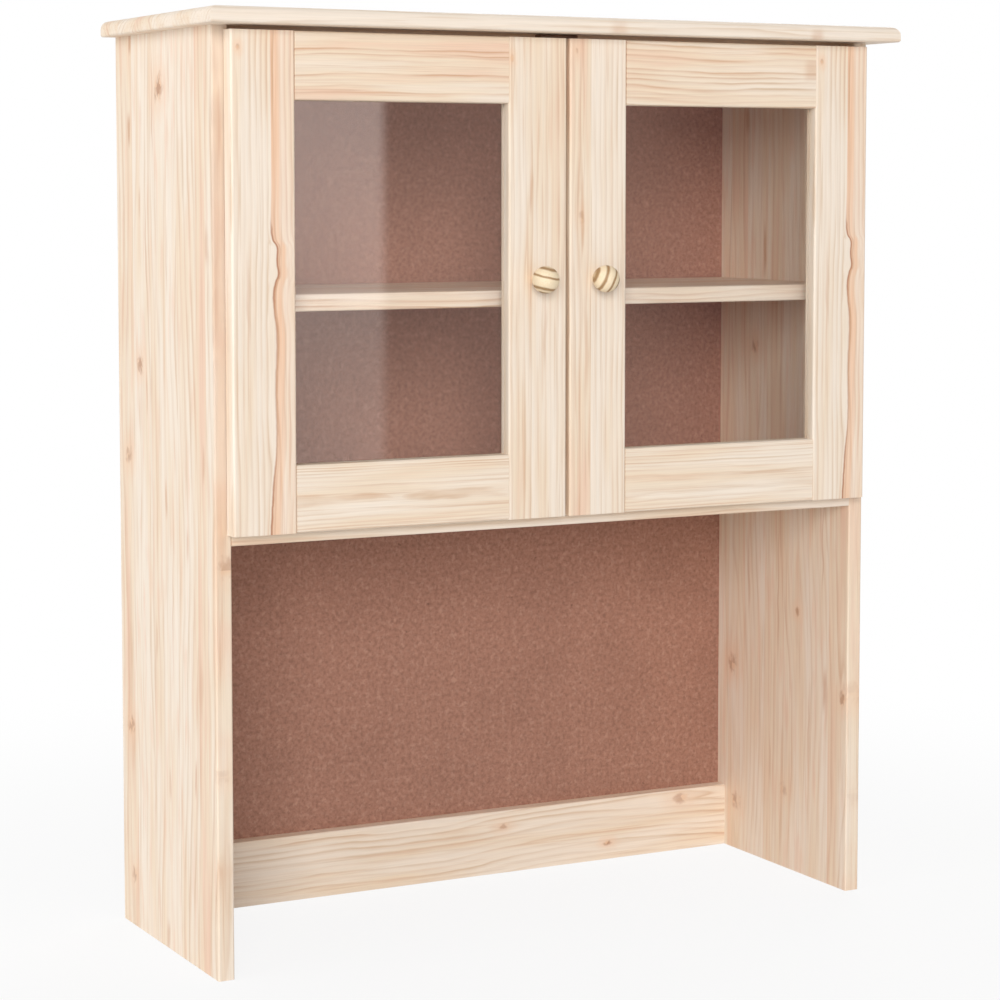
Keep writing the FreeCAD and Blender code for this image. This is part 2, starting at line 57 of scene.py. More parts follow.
# a flat sheet from its four corners
def addSheet(name, corners):
    mesh = bpy.data.meshes.new(name)
    mesh.from_pydata(corners, [], [(0, 1, 2, 3)])
    return addThing(name, mesh)


# colour written as on screen, 0 to 255, turned into light values
def tone(red, green, blue):
    parts = [part / 255 for part in (red, green, blue)]
    return tuple(p / 12.92 if p <= 0.04045 else ((p + 0.055) / 1.055) ** 2.4 for p in parts) + (1.0,)


# a socket that can stand in a sum
class Wire:
    def __init__(self, plan, socket):
        self.plan = plan
        self.socket = socket

    def of(self, output):
        return Wire(self.plan, self.socket.node.outputs[output])

    def sum(self, kind, *others):
        return self.plan.add("Math", {"operation": kind}, [self, *others])

    def __add__(self, other):
        return self.sum("ADD", other)

    def __sub__(self, other):
        return self.sum("SUBTRACT", other)

    def __mul__(self, other):
        return self.sum("MULTIPLY", other)

    def __truediv__(self, other):
        return self.sum("DIVIDE", other)

    def __rsub__(self, other):
        return self.plan.add("Math", {"operation": "SUBTRACT"}, [other, self])

    __radd__ = __add__
    __rmul__ = __mul__


# a node tree under construction; a list as a socket's value is several wires into it
class Plan:
    def __init__(self, tree):
        self.tree = tree

    def add(self, kind, settings=None, inputs=None, output=0):
        node = self.tree.nodes.new(kind if "Node" in kind else "ShaderNode" + kind)
        for key, value in (settings or {}).items():
            if key == "stops":
                ramp = node.color_ramp
                while len(ramp.elements) < len(value):
                    ramp.elements.new(1.0)
                for element, (spot, colour) in zip(ramp.elements, value):
                    element.position = spot
                    element.color = colour
            elif key == "points":
                curve = node.mapping.curves[0]
                while len(curve.points) < len(value):
                    curve.points.new(0.5, 0.5)
                for point, spot in zip(curve.points, value):
                    point.location = spot
                node.mapping.update()
            else:
                setattr(node, key, value)
        pairs = inputs.items() if isinstance(inputs, dict) else enumerate(inputs or [])
        for key, value in pairs:
            for part in value if isinstance(value, list) else [value]:
                if isinstance(part, Wire):
                    self.tree.links.new(part.socket, node.inputs[key])
                else:
                    node.inputs[key].default_value = part
        return Wire(self, node.outputs[output]) if len(node.outputs) else None

    # 1 for what the camera sees, straight on, in a mirror or through glass
    def inSight(self):
        path = self.add("LightPath", None, None, "Is Camera Ray")
        return path.sum("MAXIMUM", path.of("Is Glossy Ray")).sum("MAXIMUM", path.of("Is Transmission Ray"))


# one material and its nodes
class Finish(Plan):
    def __init__(self, name):
        self.material = bpy.data.materials.new(name)
        self.material.use_nodes = True
        super().__init__(self.material.node_tree)
        self.tree.nodes.clear()

    # place on the object in millimetres
    def place(self):
        spot = self.add("TexCoord", output="Object")
        scaled = self.add("VectorMath", {"operation": "SCALE"}, {"Vector": spot, "Scale": perMetre})
        parts = self.add("SeparateXYZ", None, {0: scaled})
        return {axis: parts.of(number) for number, axis in enumerate("XYZ")}

    def facing(self):
        parts = self.add("SeparateXYZ", None, {0: self.add("TexCoord", output="Normal")})
        return {axis: parts.of(number) for number, axis in enumerate("XYZ")}

    def noise(self, x, y, z, detail=2.0, rough=0.5):
        vector = self.add("CombineXYZ", None, [x, y, z])
        return self.add("TexNoise", None, {
            "Vector": vector, "Scale": 1.0, "Detail": detail, "Roughness": rough})

    def ease(self, value, low, high, start=0.0, end=1.0):
        settings = {"interpolation_type": "SMOOTHSTEP"}
        return self.add("MapRange", settings, {0: value, 1: low, 2: high, 3: start, 4: end})

    def mix(self, first, second, share, kind="MIX"):
        settings = {"data_type": "RGBA", "blend_type": kind}
        return self.add("Mix", settings, {0: share, 6: first, 7: second}, 2)

    def ramp(self, value, *stops):
        return self.add("ValToRGB", {"stops": stops}, {0: value})

    def bump(self, height, strength, distance):
        return self.add("Bump", None, {"Height": height, "Strength": strength, "Distance": distance})

    def surface(self, **sockets):
        names = {key.replace("_", " "): value for key, value in sockets.items()}
        return self.show(self.add("BsdfPrincipled", None, names))

    def show(self, shader):
        self.add("OutputMaterial", None, {"Surface": shader})
        return self.material


# Pine: layers of year rings, tilted in each stave, that wander along the board and part round knots
pineLook = {
    "pale": tone(243, 229, 213),
    "cream": tone(238, 218, 193),
    "rose": tone(237, 205, 181),
    "line": tone(212, 182, 149),
    "warmLine": tone(210, 164, 130),
    "heart": tone(238, 197, 164),
    "heartEdge": tone(176, 116, 82),
    "streak": tone(204, 156, 121),
    "knotMiddle": tone(227, 185, 147),
    "knotRim": tone(174, 120, 85),
    "sawnEnd": tone(238, 220, 198),
    "roughness": 0.56,
    "roughSpan": 0.16,
    "index": 1.45,
}
plainBoard = {
    "seed": 1.0, "staves": (), "tints": (), "tilts": (), "slope": 0.5, "lines": 0.8, "ring": 6.0, "wave": 1.0,
    "origin": 0.0, "crown": None, "warm": 0.5, "patches": 0.0, "knots": (), "knotShape": 0.6, "streaks": (),
    "heart": None,
}
# lengths along the board, widths across it and reaches are in millimetres; a tuple is the range of an ease
figure = {
    "seedStep": 311.0, "laneStep": 7.31, "shuffle": 4000.0, "crownWidth": 30.0,
    "leanLength": 420.0, "leanReach": 34.0, "driftLength": 260.0, "driftReach": 9.0,
    "rippleLength": 64.0, "rippleWidth": 13.0, "rippleReach": 3.2, "crumbLength": 9.0, "crumbWidth": 6.0,
    "unevenWidth": 21.0, "unevenReach": 8.0, "boldSpan": 0.85, "faintest": 0.15,
    "fadeLength": 120.0, "fadeWidth": 15.0, "fade": (0.3, 0.66, 0.3, 1.0),
    "fibreLength": 70.0, "fibreFine": 0.8, "fibre": (0.25, 0.75, 0.955, 1.03),
    "hairLength": 150.0, "hairFine": 0.34, "hair": (0.55, 0.74, 0.0, 0.4),
    "blotchLength": 230.0, "blotchWidth": 22.0, "warmShare": 0.55, "warm": (0.3, 0.66), "rosy": (0.55, 0.85),
    "patchLength": 85.0, "patchWidth": 11.0, "patch": (0.5, 0.72),
    "streakLength": 60.0, "streakCore": 0.2, "streakBend": 0.2, "bendMost": 14.0, "streakRipple": 1.6,
    "ends": (0.6, 0.95), "endShare": 0.05,
    "fibreRelief": 0.6, "ringRelief": -0.5, "reliefStrength": 0.16, "reliefDepth": 0.0006,
}
# grey of the late wood over one ring
lateWood = ((0.0, 0.3), (0.12, 0.0), (0.38, 0.04), (0.66, 0.42), (0.87, 1.0), (1.0, 0.32))
# pairs are shares of a knot's radius
knotForm = {
    "edge": (0.6, 1.2), "body": (0.15, 1.2), "rim": (0.1, 0.8), "halo": (0.7, 3.4), "ragged": 1.7,
    "flow": 0.2, "reach": 5.0, "push": 1.5, "soft": 0.7, "growthRings": 11.0, "growth": 0.14,
    "rimFrom": 0.15, "rimTo": 0.9, "haloShare": 0.5,
    "patchLength": 11.0, "patchWidth": 8.0, "patch": (0.42, 0.62),
}
# distances from the heart's edge in millimetres
heartForm = {
    "pull": (-9.0, -1.0), "start": (-0.8, 0.8), "end": (7.5, 12.0, 1.0, 0.3), "lines": (-0.8, 1.2),
    "line": (0.3, 1.8, 1.0, 0.0), "ragged": 1.6,
    "tintLength": 160.0, "tintWidth": 5.0, "tint": (0.3, 0.7, 0.62, 1.0),
}


# glued staves, each with its own tilt of the rings, its own tone and its own place along the log
def staveField(paint, board, along, across):
    seed, tilts, tints = board["seed"], board["tilts"], board["tints"]
    if not board["staves"]:
        return 0.0, board["slope"], board["warm"], along + seed * figure["seedStep"]
    lane, slope, warmth = 0.0, tilts[0], tints[0]
    for number, border in enumerate(board["staves"]):
        step = across.sum("GREATER_THAN", border)
        lane = step + lane
        slope = step * (tilts[number + 1] - tilts[number]) + slope
        warmth = step * (tints[number + 1] - tints[number]) + warmth
    luck = paint.add("TexWhiteNoise", {"noise_dimensions": "1D"}, {"W": lane * figure["laneStep"] + seed})
    return lane, slope, warmth, along + luck * figure["shuffle"]


# knots push the layers aside, and give a body, a darker rim and a warm halo
def knotField(paint, board, along, across, deep, layer, crumb, form=knotForm):
    body, rim, halo = 0.0, 0.0, 0.0
    for knotAlong, knotAcross, radius, strength, *level in board["knots"]:
        shares = {key: [radius * share for share in form[key]] for key in ("edge", "body", "rim", "halo")}
        far = (along - knotAlong) * board["knotShape"]
        side = across - knotAcross
        if level:
            strength = paint.ease(side.sum("ABSOLUTE"), *shares["edge"], strength, 0.0)
            side = deep - level[0]
        gap = (far * far + side * side).sum("SQRT") + crumb * (radius * form["ragged"])
        flow = (along - knotAlong) * form["flow"]
        flow = (flow * flow + side * side).sum("SQRT")
        push = paint.ease(flow, 0.0, radius * form["reach"], radius * form["push"], 0.0)
        layer = layer - push * side / (side.sum("ABSOLUTE") + radius * form["soft"])
        body = paint.ease(gap, *shares["body"], 1.0, 0.0) * strength + body
        growth = (gap * (form["growthRings"] / radius)).sum("SINE") * form["growth"]
        rim = paint.ease(gap, *shares["rim"], form["rimFrom"], form["rimTo"]) + growth + rim
        halo = paint.ease(gap, *shares["halo"], form["haloShare"], 0.0) * strength + halo
    return layer, body, rim, halo


# dark late wood ends each ring, bolder in some years than in others
def ringField(paint, board, layer, lane, length, across):
    seed = board["seed"]
    uneven = paint.noise(layer / figure["unevenWidth"], seed * 3.3, lane * 2.3, 1.0) - 0.5
    phase = (layer + uneven * figure["unevenReach"]) / board["ring"]
    boldness = paint.add("TexWhiteNoise", {"noise_dimensions": "1D"}, {"W": phase.sum("FLOOR") + seed * 5.1})
    boldness = boldness * figure["boldSpan"] + figure["faintest"]
    late = paint.ramp(phase.sum("FRACT"), *[(spot, (grey, grey, grey, 1.0)) for spot, grey in lateWood])
    fade = paint.noise(length / figure["fadeLength"], across / figure["fadeWidth"], seed, 1.0)
    return paint.add("RGBToBW", None, [late]) * boldness * paint.ease(fade, *figure["fade"])


# single bold streaks, each bent a little
def streaked(paint, board, look, colour, along, across, ripple):
    core = figure["streakCore"]
    for streakAlong, streakAcross, reach, width, strength, *own in board["streaks"]:
        far = paint.ease((along - streakAlong).sum("ABSOLUTE"), reach * core, reach, 1.0, 0.0)
        bend = paint.noise(along / figure["streakLength"], streakAcross, board["seed"], 1.0) - 0.5
        bend = bend * min(reach * figure["streakBend"], figure["bendMost"])
        side = (across - streakAcross + ripple * (width * figure["streakRipple"]) + bend).sum("ABSOLUTE")
        tint = own[0] if own else look["streak"]
        colour = paint.mix(colour, tint, far * paint.ease(side, width * core, width, strength, 0.0))
    return colour


# the odd factors on lane and seed only keep the noises apart
def pine(name, axes, look=pineLook, **changes):
    board = {**plainBoard, **changes}
    seed, wave, heart = board["seed"], board["wave"], board["heart"]
    paint = Finish(name)
    spots = paint.place()
    along, across, deep = (spots[axis] for axis in axes)
    across = across - board["origin"]
    lane, slope, warmth, length = staveField(paint, board, along, across)

    # a crown closes the lines to a pointed figure; the lines beside a heart follow its edge
    layer = across
    if board["crown"] is not None:
        layer = across - board["crown"]
        layer = layer * layer / figure["crownWidth"]
    if heart:
        share = (along - heart["start"]) / heart["length"]
        edge = paint.add("FloatCurve", {"points": heart["edge"]}, {"Value": share}) * heart["width"]
        inside = across - edge
        layer = layer - (edge - heart["level"] * heart["width"]) * paint.ease(inside, *heartForm["pull"])

    lean = paint.noise(length / figure["leanLength"], lane * 1.7 + seed * 0.37, seed, 1.0) - 0.5
    lean = lean * (figure["leanReach"] * wave)
    drift = paint.noise(length / figure["driftLength"], lane * 3.1 + seed, 4.0, 1.0) - 0.5
    drift = drift * (figure["driftReach"] * wave)
    width = figure["rippleWidth"]
    ripple = paint.noise(along / figure["rippleLength"], across / width, deep / width + seed, 2.0) - 0.5
    layer = layer + (deep + lean) * slope + drift + ripple * (figure["rippleReach"] * wave)
    width = figure["crumbWidth"]
    crumb = paint.noise(along / figure["crumbLength"], across / width, deep / width + seed, 2.0) - 0.5
    layer, knotBody, knotRim, halo = knotField(paint, board, along, across, deep, layer, crumb)
    ring = ringField(paint, board, layer, lane, length, across)

    fine = figure["fibreFine"]
    fibre = paint.noise(along / figure["fibreLength"], across * fine, deep * fine, 3.0, 0.6)
    fine = figure["hairFine"]
    hair = paint.noise(length / figure["hairLength"], across * fine, deep * fine + seed, 2.0, 0.55)
    width = figure["blotchWidth"]
    blotch = paint.noise(length / figure["blotchLength"], across / width, deep / width + seed, 2.0)
    blotch = blotch + (warmth - 0.5) * figure["warmShare"]

    warm = paint.ease(blotch, *figure["warm"])
    colour = paint.mix(look["pale"], look["cream"], warm)
    colour = paint.mix(colour, look["rose"], paint.ease(blotch, *figure["rosy"]))
    if board["patches"]:
        patch = paint.noise(length / figure["patchLength"], across / figure["patchWidth"], seed + 6.0, 2.0)
        colour = paint.mix(colour, look["rose"], paint.ease(patch, *figure["patch"], 0.0, board["patches"]))
    lineColour = paint.mix(look["line"], look["warmLine"], warm)
    if heart:
        tint = paint.noise(along / heartForm["tintLength"], across / heartForm["tintWidth"], seed, 1.0)
        band = paint.ease(inside, *heartForm["start"]) * paint.ease(inside, *heartForm["end"])
        band = band * paint.ease(tint, *heartForm["tint"]) * heart["strength"]
        colour = paint.mix(colour, look["heart"], band)
        lineColour = paint.mix(lineColour, look["warmLine"], paint.ease(inside, *heartForm["lines"]))
    colour = paint.mix(colour, lineColour, (ring * board["lines"]).sum("MINIMUM", 1.0))
    colour = paint.mix(colour, lineColour, paint.ease(hair, *figure["hair"]))
    grain = paint.ease(fibre, *figure["fibre"])
    colour = paint.mix(colour, paint.add("CombineColor", None, [grain, grain, grain]), 1.0, "MULTIPLY")
    if heart:
        line = paint.ease((inside + crumb * heartForm["ragged"]).sum("ABSOLUTE"), *heartForm["line"])
        strength = paint.add("FloatCurve", {"points": heart["dark"]}, {"Value": share})
        colour = paint.mix(colour, look["heartEdge"], line * strength)
    colour = streaked(paint, board, look, colour, along, across, ripple)
    if board["knots"]:
        patch = paint.noise(along / knotForm["patchLength"], across / knotForm["patchWidth"], seed * 2.0, 1.0)
        knotRim = (knotRim * paint.ease(patch, *knotForm["patch"])).sum("MINIMUM", 1.0)
        colour = paint.mix(colour, look["heart"], halo.sum("MINIMUM", 1.0))
        knotColour = paint.mix(look["knotMiddle"], look["knotRim"], knotRim)
        colour = paint.mix(colour, knotColour, knotBody.sum("MINIMUM", 1.0))

    # sawn ends drink a little more light
    ends = paint.ease(paint.facing()[axes[0]].sum("ABSOLUTE"), *figure["ends"])
    colour = paint.mix(colour, look["sawnEnd"], ends * figure["endShare"], "MULTIPLY")

    relief = fibre * figure["fibreRelief"] + ring * figure["ringRelief"]
    relief = paint.bump(relief, figure["reliefStrength"], figure["reliefDepth"])
    rough = fibre * look["roughSpan"] + (look["roughness"] - look["roughSpan"] / 2)
    return paint.surface(Base_Color=colour, Roughness=rough, Normal=relief, IOR=look["index"])


def dress(material, *names):
    for name in names:
        slots = nodes[name].data.materials
        slots.clear()
        slots.append(material)


# where a board's across direction starts, in millimetres
def lowEdge(name, axes):
    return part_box(name)[0]["XYZ".index(axes[1])] * perMetre


# boards of the carcass: knots are (along, across, radius, strength), and in an edge a depth as well,
# streaks are (along, across, reach, width, strength) and may have a tone of their own
carcassBoards = {
    "left_side_panel": {
        "axes": "ZYX", "seed": 3.0, "lines": 0.7, "ring": 14.0, "wave": 1.8,
        "patches": 0.6, "knotShape": 0.9,
        "staves": (-92, -66, -12, 22, 66, 118), "tints": (0.5, 0.85, 0.4, 0.3, 0.46, 0.32, 0.6),
        "tilts": (0.7, -0.5, 0.9, -0.8, 0.6, -1.0, 0.8),
        "knots": [(921, 37, 13.0, 0.75), (627, 98, 10.0, 0.7), (524, 138, 10.0, 0.55), (224, 138, 11.0, 0.6),
                  (58, 132, 9.0, 0.5), (430, -114, 11.0, 0.5, -387), (214, -114, 8.0, 0.22, -394)],
        "streaks": [(972, 122, 16, 5, 0.7), (878, 127, 24, 5, 0.75), (905, 57, 75, 2.4, 0.6),
                    (940, 6, 40, 2.2, 0.45), (800, 96, 22, 4, 0.4), (745, 78, 80, 2.4, 0.5),
                    (745, 17, 50, 2.2, 0.4), (757, -98, 26, 7, 0.4), (598, 80, 34, 2.6, 0.5),
                    (533, -84, 26, 5, 0.5), (486, 24, 26, 5, 0.55), (444, -36, 22, 4, 0.35),
                    (360, 8, 80, 2.2, 0.45), (331, 56, 30, 5, 0.35), (300, -72, 44, 7, 0.35),
                    (200, -55, 26, 4, 0.65), (180, 20, 24, 5, 0.4), (12, 30, 24, 7, 0.5),
                    # painted shade: this last streak darkens the front edge beside the door, in a grey tone
                    # of its own
                    (740, -115, 420, 5, 0.45, tone(200, 170, 152))]},
    "right_side_panel": {
        "axes": "ZYX", "seed": 8.0, "lines": 0.62, "ring": 11.0, "wave": 1.6,
        "patches": 0.6, "knotShape": 0.9,
        "staves": (-76, -34, 18, 60, 104, 140), "tints": (0.66, 0.52, 0.4, 0.52, 0.4, 0.56, 0.45),
        "tilts": (-0.6, 0.8, -0.9, 0.5, -0.4, 1.0, -0.7),
        "knots": [(230, 131, 11.0, 0.6), (314, -11, 5.5, 0.6), (224, -104, 9.0, 0.6), (94, 16, 9.0, 0.35),
                  (60, 122, 10.0, 0.5), (625, 87, 9.0, 0.6), (236, -114, 11.0, 0.15, 388),
                  (110, -114, 12.0, 0.12, 394)],
        "streaks": [(229, -68, 34, 6, 0.55), (742, 66, 40, 4, 0.7), (898, 106, 22, 5, 0.5),
                    (120, 46, 40, 2.6, 0.4), (330, 30, 110, 2.2, 0.5), (400, -62, 90, 2.2, 0.4),
                    (180, -36, 70, 2.2, 0.35), (350, 96, 60, 3, 0.35)]},
    "top_panel": {
        "axes": "XYZ", "seed": 5.0, "lines": 0.6, "ring": 9.0, "wave": 1.5, "staves": (-104, -52, 8, 60, 112),
        "tints": (0.06, 0.5, 0.25, 0.6, 0.4, 0.5), "tilts": (0.9, -0.8, 0.9, -0.6, 1.0, -0.7),
        "streaks": [(50, -166, 16, 16, 0.4), (304, -166, 12, 16, 0.45)]},
    "cabinet_floor": {
        "axes": "XYZ", "seed": 6.0, "lines": 0.75, "ring": 8.0, "staves": (-60, -8, 50, 104),
        "tints": (0.45, 0.6, 0.3, 0.5, 0.4), "tilts": (0.9, -0.7, 0.8, -0.9, 0.6)},
    "shelf": {
        "axes": "XYZ", "seed": 7.0, "lines": 1.2, "ring": 7.0, "wave": 1.4, "staves": (-46, 6, 60, 110),
        "tints": (0.42, 0.4, 0.6, 0.3, 0.5), "tilts": (1.1, -0.8, 0.7, -1.0, 0.9)},
    "lower_back_rail": {
        "axes": "XZY", "seed": 9.0, "lines": 0.8, "ring": 8.0, "wave": 1.7, "slope": 0.9, "warm": 0.3,
        "knots": [(70, 56, 4.5, 0.5), (214, 20, 3.6, 0.75), (318, 64, 7.0, 0.5)]},
}
for name, board in carcassBoards.items():
    dress(pine(name + "Pine", **board), name)
print("carcass boards dressed")

# door frames: both hinge stiles are cut from one board and show the same reddish heart on their right
doorLow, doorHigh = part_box("left_door_hinge_stile")
stileHeart = {
    "start": doorLow.z * perMetre, "length": (doorHigh.z - doorLow.z) * perMetre,
    "width": (doorHigh.x - doorLow.x) * perMetre, "level": 0.62, "strength": 0.95,
    "edge": [(0.0, 0.59), (0.08, 0.62), (0.19, 0.685), (0.3, 0.677), (0.39, 0.698), (0.478, 0.65),
             (0.505, 0.685), (0.52, 0.725), (0.545, 0.705), (0.568, 0.712), (0.588, 0.64), (0.61, 0.617),
             (0.7, 0.62), (1.0, 0.615)],
    "dark": [(0.0, 0.9), (0.1, 0.75), (0.2, 0.5), (0.4, 0.55), (0.5, 0.85),
             (0.58, 0.9), (0.62, 0.35), (0.66, 0.0), (1.0, 0.0)],
}
hingeStile = {"axes": "ZXY", "seed": 11.0, "slope": 0.25, "lines": 0.95, "ring": 6.6, "warm": 0.34,
              "heart": stileHeart, "knots": [(957, 8, 2.6, 0.8)], "streaks": [(700, 18, 60, 3, 0.3)]}
topRail = {"axes": "XZY", "lines": 1.0, "ring": 6.6, "warm": 0.75, "wave": 1.5}
bottomRail = {"axes": "XZY", "slope": 0.5, "lines": 0.95, "ring": 6.2, "warm": 0.45, "wave": 1.6}
doorBoards = {
    "left_door_hinge_stile": hingeStile,
    "right_door_hinge_stile": hingeStile,
    "left_door_meeting_stile": {
        "axes": "ZXY", "seed": 13.0, "slope": 0.3, "lines": 0.75, "ring": 6.6, "warm": 0.42,
        "knots": [(952, 4, 2.6, 0.7)], "streaks": [(812, 26, 30, 3, 0.45), (660, 44, 50, 3, 0.25)]},
    "right_door_meeting_stile": {
        "axes": "ZXY", "seed": 14.0, "lines": 0.75, "ring": 6.6, "staves": (26,), "tints": (0.62, 0.3),
        "tilts": (-0.3, 0.3),
        "knots": [(785, 14, 4.5, 0.35), (962, 8, 2.4, 0.5)], "streaks": [(640, 20, 70, 4, 0.35)]},
    "left_door_top_rail": {**topRail, "seed": 25.0, "slope": 0.4, "warm": 0.62},
    "left_door_bottom_rail": {**bottomRail, "seed": 22.0, "crown": 32.0},
    "right_door_top_rail": {**topRail, "seed": 23.0, "slope": -0.4, "warm": 0.5,
                            "streaks": [(312, 42, 14, 16, 0.35)]},
    "right_door_bottom_rail": {**bottomRail, "seed": 24.0, "crown": 28.0},
}
for name, board in doorBoards.items():
    dress(pine(name + "Pine", origin=lowEdge(name, board["axes"]), **board), name)

beads = {
    "Upright": {"axes": "ZXY", "seed": 31.0, "places": ("hinge_side", "meeting_side")},
    "Level": {"axes": "XZY", "seed": 33.0, "places": ("top", "bottom")},
}
for side in ("left", "right"):
    for kind, bead in beads.items():
        wood = pine(side + kind + "BeadPine", bead["axes"], seed=bead["seed"], lines=0.5)
        dress(wood, *[f"{side}_door_bead_{place}" for place in bead["places"]])
print("doors dressed")

# turned knobs: a few broad year layers cut through a ball; bands are (place along the tilt, half width)
knobLook = {
    "pale": tone(244, 227, 197), "warm": tone(236, 212, 175), "band": tone(160, 124, 82),
    "wobbleSize": 11.0, "wobble": 1.6, "bandCore": 0.3, "bandBlur": 1.35, "bandDepth": (0.2, 0.6, 0.8, 1.0),
    "fibreFine": 0.9, "fibreLayer": 1.6, "fibre": (0.3, 0.75),
    "roughness": 0.42, "roughSpan": 0.14, "index": 1.45,
    "bandRelief": -0.4, "fibreRelief": 0.4, "reliefStrength": 0.15, "reliefDepth": 0.0005,
}
knobs = {
    "left_door_knob": {
        "tilt": (0.167, -0.144, 0.975), "bands": [(12.0, 1.5), (3.7, 1.4), (-8.8, 1.8), (-13.4, 0.9)]},
    "right_door_knob": {
        "tilt": (-0.911, 0.189, 0.366), "bands": [(12.9, 1.6), (4.4, 1.9), (-5.2, 1.5), (-12.2, 0.9)]},
}


def knobWood(name, tilt, bands, look=knobLook):
    low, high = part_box(name)
    half = (high.z - low.z) / 2
    centre = Vector(((low.x + high.x) / 2, low.y + half, (low.z + high.z) / 2)) * perMetre
    paint = Finish(name + "Wood")
    spot = paint.add("TexCoord", output="Object")
    scaled = paint.add("VectorMath", {"operation": "SCALE"}, {"Vector": spot, "Scale": perMetre})
    moved = paint.add("VectorMath", {"operation": "SUBTRACT"}, [scaled, tuple(centre)])
    parts = paint.add("SeparateXYZ", None, [moved])
    x, y, z = (parts.of(number) for number in range(3))
    level = paint.add("VectorMath", {"operation": "DOT_PRODUCT"}, [moved, tilt], "Value")
    size, fine = look["wobbleSize"], look["fibreFine"]
    level = level + (paint.noise(x / size, y / size, z / size, 1.0) - 0.5) * look["wobble"]
    dark = 0.0
    for place, halfWidth in bands:
        core, blur = halfWidth * look["bandCore"], halfWidth * look["bandBlur"]
        dark = paint.ease((level - place).sum("ABSOLUTE"), core, blur, 1.0, 0.0) + dark
    fibre = paint.noise(x * fine, y * fine, level * look["fibreLayer"], 3.0, 0.6)
    colour = paint.mix(look["pale"], look["warm"], paint.ease(fibre, *look["fibre"]))
    share = (dark * paint.ease(fibre, *look["bandDepth"])).sum("MINIMUM", 1.0)
    colour = paint.mix(colour, look["band"], share)
    relief = dark * look["bandRelief"] + fibre * look["fibreRelief"]
    relief = paint.bump(relief, look["reliefStrength"], look["reliefDepth"])
    rough = fibre * look["roughSpan"] + look["roughness"]
    return paint.surface(Base_Color=colour, Roughness=rough, Normal=relief, IOR=look["index"])


for name, knob in knobs.items():
    dress(knobWood(name, **knob), name)
print("knobs dressed")

# pressed hardboard: dark chips and pale flecks in a brown felt, and a screen mark on its rear face
hardboardLook = {
    "felt": tone(167, 121, 102), "dark": tone(98, 63, 50), "light": tone(202, 160, 140),
    "grain": 4.4, "fleckGrain": 1.7, "speckGrain": 1.8, "cloudSize": 70.0, "screenPitch": 2.6,
    "chips": (0.34, 0.74, 0.0, 0.42), "flecks": (0.46, 0.78, 0.0, 0.42), "specks": (0.73, 0.8, 0.0, 0.55),
    "cloud": (0.42, 0.75, 0.0, 0.12), "rear": (0.5, 0.9), "screen": (-0.2, 0.9, 0.15, 0.6),
    "roughness": 0.5, "roughSpan": 0.2, "index": 1.45,
    "chipRelief": 0.7, "screenRelief": 0.8, "reliefStrength": 0.2, "reliefDepth": 0.0005,
}


def hardboard(look=hardboardLook):
    paint = Finish("hardboard")
    spots = paint.place()
    x, y, z = (spots[axis] for axis in "XYZ")
    wide, size, pitch = look["cloudSize"], look["grain"], look["screenPitch"]
    fleck, speck = size * look["fleckGrain"], size * look["speckGrain"]
    cloud = paint.noise(x / wide, y / wide, z / wide, 3.0)
    chips = paint.noise(x / size, y / size, z / size, 2.0, 0.6)
    flecks = paint.noise(x / fleck + 40.0, y / size, z / fleck, 2.0, 0.7)
    specks = paint.noise(x / speck + 90.0, y / size, z / speck, 1.0)
    colour = paint.mix(look["felt"], look["dark"], paint.ease(chips, *look["chips"]))
    colour = paint.mix(colour, look["light"], paint.ease(flecks, *look["flecks"]))
    colour = paint.mix(colour, look["dark"], paint.ease(specks, *look["specks"]))
    colour = paint.mix(colour, look["dark"], paint.ease(cloud, *look["cloud"]))
    rear = paint.ease(paint.facing()["Y"], *look["rear"])
    screen = (x * pitch).sum("SINE") * (z * pitch).sum("SINE")
    colour = paint.mix(colour, look["dark"], rear * paint.ease(screen, *look["screen"]))
    relief = chips * look["chipRelief"] + screen * rear * look["screenRelief"]
    relief = paint.bump(relief, look["reliefStrength"], look["reliefDepth"])
    rough = chips * look["roughSpan"] + look["roughness"]
    return paint.surface(Base_Color=colour, Roughness=rough, Normal=relief, IOR=look["index"])


dress(hardboard(), "back_panel")
print("back panel dressed")

# brushed metal: fine lines along one axis, and a faint stain
metalLook = {
    "lineLong": 0.06, "lineFine": 5.0, "stainSize": 9.0, "stain": (0.35, 0.75, 0.0, 0.5),
    "roughSpan": 0.16, "reliefStrength": 0.08, "reliefDepth": 0.0002,
}


def metal(name, colour, stain, rough, grainAxis, look=metalLook):
    paint = Finish(name)
    spots = paint.place()
    scaled = [spots[axis] * look["lineLong" if axis == grainAxis else "lineFine"] for axis in "XYZ"]
    brush = paint.noise(*scaled, 3.0, 0.6)
    haze = paint.noise(*[spots[axis] / look["stainSize"] for axis in "XYZ"], 2.0)
    shade = paint.mix(colour, stain, paint.ease(haze, *look["stain"]))
    relief = paint.bump(brush, look["reliefStrength"], look["reliefDepth"])
    rough = brush * look["roughSpan"] + rough
    return paint.surface(Base_Color=shade, Roughness=rough, Metallic=1.0, Normal=relief)


nickel = metal("nickelPlate", (0.74, 0.72, 0.68, 1), (0.60, 0.58, 0.54, 1), 0.2, "Y")
steel = metal("zincPlatedSteel", (0.66, 0.67, 0.68, 1), (0.52, 0.53, 0.54, 1), 0.3, "Z")
casting = metal("castZinc", (0.50, 0.50, 0.50, 1), (0.38, 0.38, 0.38, 1), 0.42, "X")
hinged = [f"{side}_{level}_hinge_{piece}" for side in ("left", "right") for level in ("upper", "lower")
          for piece in ("arm", "plate", "cup")]
onDoors = [f"{side}_{piece}" for side in ("left", "right") for piece in ("hinge_pins", "strike_plate")]
dress(nickel, "shelf_pins", *onDoors, *hinged)
dress(steel, "cam_bolts")
dress(pine("dowelWood", "XYZ", seed=41.0, lines=0.4), "joint_dowels", "left_door_dowels", "right_door_dowels")
print("metal and dowels dressed")

